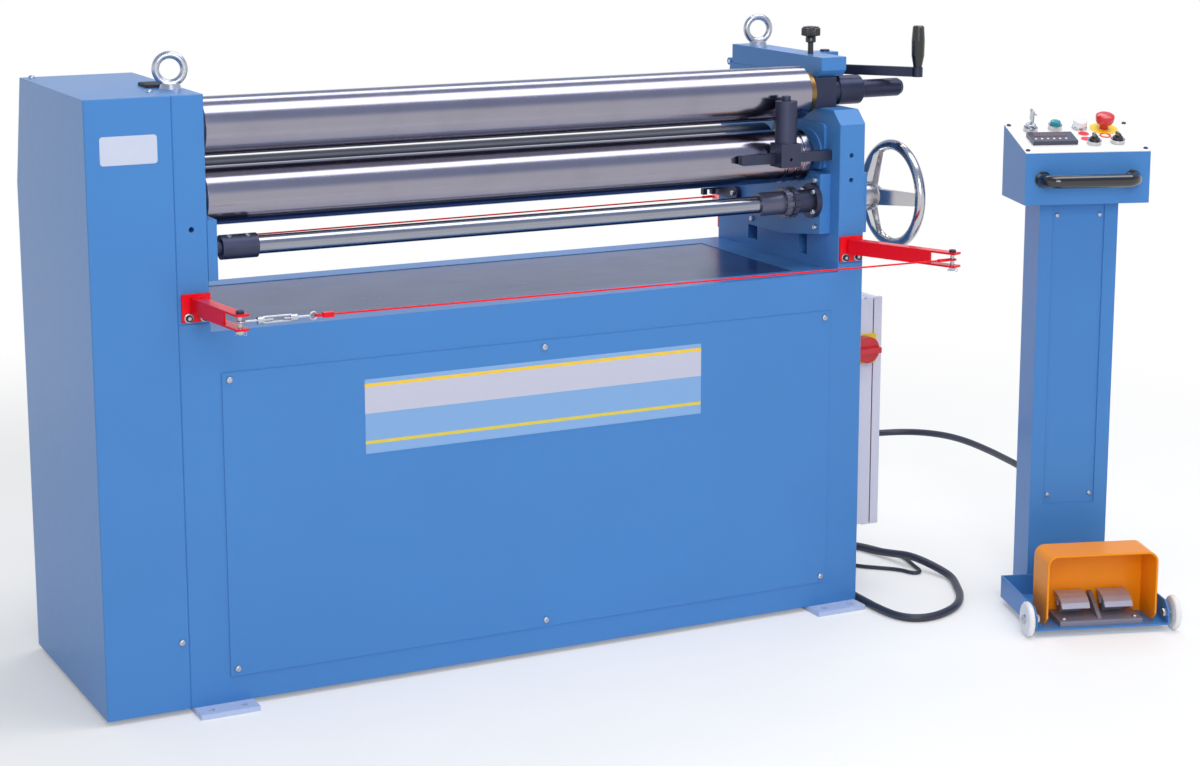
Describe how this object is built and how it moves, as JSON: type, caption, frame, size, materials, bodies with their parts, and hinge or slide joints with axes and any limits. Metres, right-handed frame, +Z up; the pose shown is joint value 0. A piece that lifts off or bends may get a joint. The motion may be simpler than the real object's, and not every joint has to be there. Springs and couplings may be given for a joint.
{
  "type": "motor-driven slip roll machine",
  "caption": "Floor-standing plate rolling machine with driven and guided steel rolls between uprights, a side handwheel, a trip wire and a wheeled control console with foot pedals",
  "frame": {"origin": "centre of the floor bolt pattern, on the floor", "axes": "+X along the rolls towards the handwheel, +Y towards the back, +Z up"},
  "size_m": [2.2022, 1.2245, 1.2294],
  "materials": {
    "blue_paint": "semi-gloss steel blue machine enamel",
    "polished_steel": "ground and polished roll steel",
    "black_oxide": "black-oxide steel, satin",
    "brass": "turned bronze",
    "cast_aluminium": "polished casting",
    "zinc": "bright zinc plate",
    "red_paint": "gloss signal red",
    "grey_paint": "light grey powder coat",
    "grey_casting": "cast, matt",
    "orange_paint": "gloss orange",
    "yellow_plastic": "yellow plate",
    "red_plastic": "moulded red",
    "black_plastic": "gloss black",
    "teal_plastic": "moulded teal",
    "white_plate": "white panel face",
    "white_plastic": "white wheel",
    "cable_sheath": "dark slate sheath",
    "gear_steel": "cut gear steel"
  },
  "bodies": {
    "root": {"access_panels": "blue_paint", "base_cabinet": "blue_paint", "bearing_housings": "blue_paint", "cabinet_case": "grey_paint", "cone_guide_bar": "black_oxide", "console_box": "blue_paint", "console_cable": "cable_sheath", "console_handle": "black_plastic", "console_stand": "blue_paint", "control_plate": "white_plate", "drip_tray": "blue_paint", "drive_cover": "blue_paint", "fasteners": "zinc", "floor_cable": "cable_sheath", "foot_plates": "blue_paint", "gear_motor": "grey_casting", "left_lifting_eye": "zinc", "left_upright": "blue_paint", "panel_fittings": "yellow_plastic", "pedal_base": "grey_casting", "pedal_hood": "orange_paint", "release_handle": "black_oxide", "right_upright": "blue_paint", "switchgear": "grey_casting", "thin_cable": "cable_sheath", "trip_arms": "red_paint", "trip_wire": "red_paint", "upper_right_bearing": "black_oxide", "upper_roll_bushes": "brass"},
    "lower_carriage": {"lower_bearing_blocks": "black_oxide"},
    "lower_roll_unit": {"lower_roll": "polished_steel", "lower_roll_gear": "gear_steel"},
    "upper_roll_unit": {"upper_roll": "polished_steel", "upper_roll_gear": "gear_steel"},
    "main_gear_unit": {"main_gear": "gear_steel"},
    "pinion_unit": {"drive_pinion": "gear_steel"},
    "rear_carriage": {"rear_bearing_blocks": "black_oxide"},
    "rear_roll_unit": {"rear_roll": "polished_steel"},
    "handwheel_unit": {"handwheel": "cast_aluminium", "handwheel_shaft": "polished_steel"},
    "rod_unit": {"connecting_rod": "polished_steel"},
    "clutch_unit": {"clutch_half": "black_oxide"},
    "cap_unit": {"top_cap": "blue_paint", "cap_lifting_eye": "zinc"},
    "cap_screw_unit": {"cap_knob_screw": "black_oxide"},
    "crank_unit": {"crank_arm": "black_oxide"},
    "crank_grip_unit": {"crank_grip": "black_plastic"},
    "cone_guide_unit": {"cone_guide_block": "black_oxide"},
    "cone_roller_unit": {"cone_guide_roller": "black_oxide"},
    "main_switch_unit": {"main_switch_knob": "red_plastic"},
    "cabinet_door_unit": {"cabinet_door": "grey_paint"},
    "key_unit": {"key_switch": "zinc"},
    "selector_a_unit": {"selector_a": "black_plastic"},
    "selector_b_unit": {"selector_b": "black_plastic"},
    "start_button_unit": {"start_button": "teal_plastic"},
    "stop_button_unit": {"emergency_stop": "red_plastic"},
    "left_pedal_unit": {"left_pedal": "cast_aluminium"},
    "right_pedal_unit": {"right_pedal": "cast_aluminium"},
    "left_wheel_unit": {"left_console_wheel": "white_plastic"},
    "right_wheel_unit": {"right_console_wheel": "white_plastic"}
  },
  "joints": [
    {"name": "pinch_slide", "type": "slide", "parent": "root", "child": "lower_carriage", "axis": [0, 0, 1], "range_m": [0, 0.02]},
    {"name": "lower_roll_spin", "type": "hinge", "parent": "lower_carriage", "child": "lower_roll_unit", "pos_m": [0, -0.14, 0.958], "axis": [1, 0, 0], "continuous": true},
    {"name": "upper_roll_spin", "type": "hinge", "parent": "root", "child": "upper_roll_unit", "pos_m": [0, -0.14, 1.088], "axis": [1, 0, 0], "continuous": true},
    {"name": "main_gear_turn", "type": "hinge", "parent": "root", "child": "main_gear_unit", "pos_m": [-0.76, -0.14, 0.813], "axis": [1, 0, 0], "continuous": true},
    {"name": "pinion_turn", "type": "hinge", "parent": "root", "child": "pinion_unit", "pos_m": [-0.76, -0.14, 0.673], "axis": [1, 0, 0], "continuous": true},
    {"name": "rear_slide", "type": "slide", "parent": "root", "child": "rear_carriage", "axis": [0, -0.5, 0.866], "range_m": [0, 0.05]},
    {"name": "rear_roll_spin", "type": "hinge", "parent": "rear_carriage", "child": "rear_roll_unit", "pos_m": [0, 0, 0.955], "axis": [1, 0, 0], "continuous": true},
    {"name": "handwheel_turn", "type": "hinge", "parent": "root", "child": "handwheel_unit", "pos_m": [0.845, -0.19, 0.868], "axis": [1, 0, 0], "range_deg": [0, 1440]},
    {"name": "rod_turn", "type": "hinge", "parent": "root", "child": "rod_unit", "pos_m": [0, -0.19, 0.868], "axis": [1, 0, 0], "range_deg": [0, 1440]},
    {"name": "clutch_slide", "type": "slide", "parent": "rod_unit", "child": "clutch_unit", "axis": [-1, 0, 0], "range_m": [0, 0.008]},
    {"name": "cap_hinge", "type": "hinge", "parent": "root", "child": "cap_unit", "pos_m": [0.705, 0.21235, 1.1214], "axis": [-1, 0, 0], "range_deg": [0, 95]},
    {"name": "cap_screw_turn", "type": "hinge", "parent": "cap_unit", "child": "cap_screw_unit", "pos_m": [0.705, -0.08, 1.14], "axis": [0, 0, 1], "range_deg": [0, 720]},
    {"name": "crank_turn", "type": "hinge", "parent": "root", "child": "crank_unit", "pos_m": [0.762, -0.045, 1.124], "axis": [0, 0, 1], "range_deg": [0, 110]},
    {"name": "crank_grip_spin", "type": "hinge", "parent": "crank_unit", "child": "crank_grip_unit", "pos_m": [0.89313, -0.20127, 1.17], "axis": [0, 0, 1], "continuous": true},
    {"name": "cone_guide_slide", "type": "slide", "parent": "root", "child": "cone_guide_unit", "axis": [-1, 0, 0], "range_m": [0, 0.075]},
    {"name": "cone_roller_spin", "type": "hinge", "parent": "cone_guide_unit", "child": "cone_roller_unit", "pos_m": [0.562, -0.221, 1.04], "axis": [0, 0, 1], "continuous": true},
    {"name": "main_switch_turn", "type": "hinge", "parent": "root", "child": "main_switch_unit", "pos_m": [0.838, -0.1, 0.518], "axis": [0, 1, 0], "range_deg": [0, 90]},
    {"name": "cabinet_door_swing", "type": "hinge", "parent": "root", "child": "cabinet_door_unit", "pos_m": [0.88, -0.095, 0.375], "axis": [0, 0, -1], "range_deg": [0, 80]},
    {"name": "key_turn", "type": "hinge", "parent": "root", "child": "key_unit", "pos_m": [1.08586, -0.33901, 1.00338], "axis": [-0.0828, -0.2503, 0.9646], "range_deg": [0, 90]},
    {"name": "selector_a_turn", "type": "hinge", "parent": "root", "child": "selector_a_unit", "pos_m": [1.16983, -0.44501, 0.98307], "axis": [-0.0828, -0.2503, 0.9646], "range_deg": [-45, 45]},
    {"name": "selector_b_turn", "type": "hinge", "parent": "root", "child": "selector_b_unit", "pos_m": [1.22041, -0.45767, 0.98413], "axis": [-0.0828, -0.2503, 0.9646], "range_deg": [-45, 45]},
    {"name": "start_button_press", "type": "slide", "parent": "root", "child": "start_button_unit", "axis": [0.0828, 0.2503, -0.9646], "range_m": [0, 0.004], "stiffness_N_per_m": 1500, "springref_m": -0.0015},
    {"name": "stop_button_press", "type": "slide", "parent": "root", "child": "stop_button_unit", "axis": [0.0828, 0.2503, -0.9646], "range_m": [0, 0.005], "stiffness_N_per_m": 3000, "springref_m": -0.0015},
    {"name": "left_pedal_press", "type": "hinge", "parent": "root", "child": "left_pedal_unit", "pos_m": [1.05516, -0.56562, 0.049], "axis": [0.9494, -0.314, 0], "range_deg": [0, 6], "stiffness_Nm_per_rad": 25, "springref_deg": -6.88},
    {"name": "right_pedal_press", "type": "hinge", "parent": "root", "child": "right_pedal_unit", "pos_m": [1.14251, -0.5945, 0.049], "axis": [0.9494, -0.314, 0], "range_deg": [0, 6], "stiffness_Nm_per_rad": 25, "springref_deg": -6.88},
    {"name": "left_wheel_spin", "type": "hinge", "parent": "root", "child": "left_wheel_unit", "pos_m": [0.93, -0.59374, 0.036], "axis": [0.9494, -0.314, 0], "continuous": true},
    {"name": "right_wheel_spin", "type": "hinge", "parent": "root", "child": "right_wheel_unit", "pos_m": [1.22622, -0.69171, 0.036], "axis": [0.9494, -0.314, 0], "continuous": true}
  ],
  "couplings": [
    {"joint": "upper_roll_spin", "follows": "lower_roll_spin", "ratio": -1},
    {"joint": "main_gear_turn", "follows": "lower_roll_spin", "ratio": -0.52632},
    {"joint": "pinion_turn", "follows": "lower_roll_spin", "ratio": 1.1111},
    {"joint": "handwheel_turn", "follows": "pinch_slide", "rad_per_m": 1256.6},
    {"joint": "rod_turn", "follows": "pinch_slide", "rad_per_m": 1256.6}
  ]
}
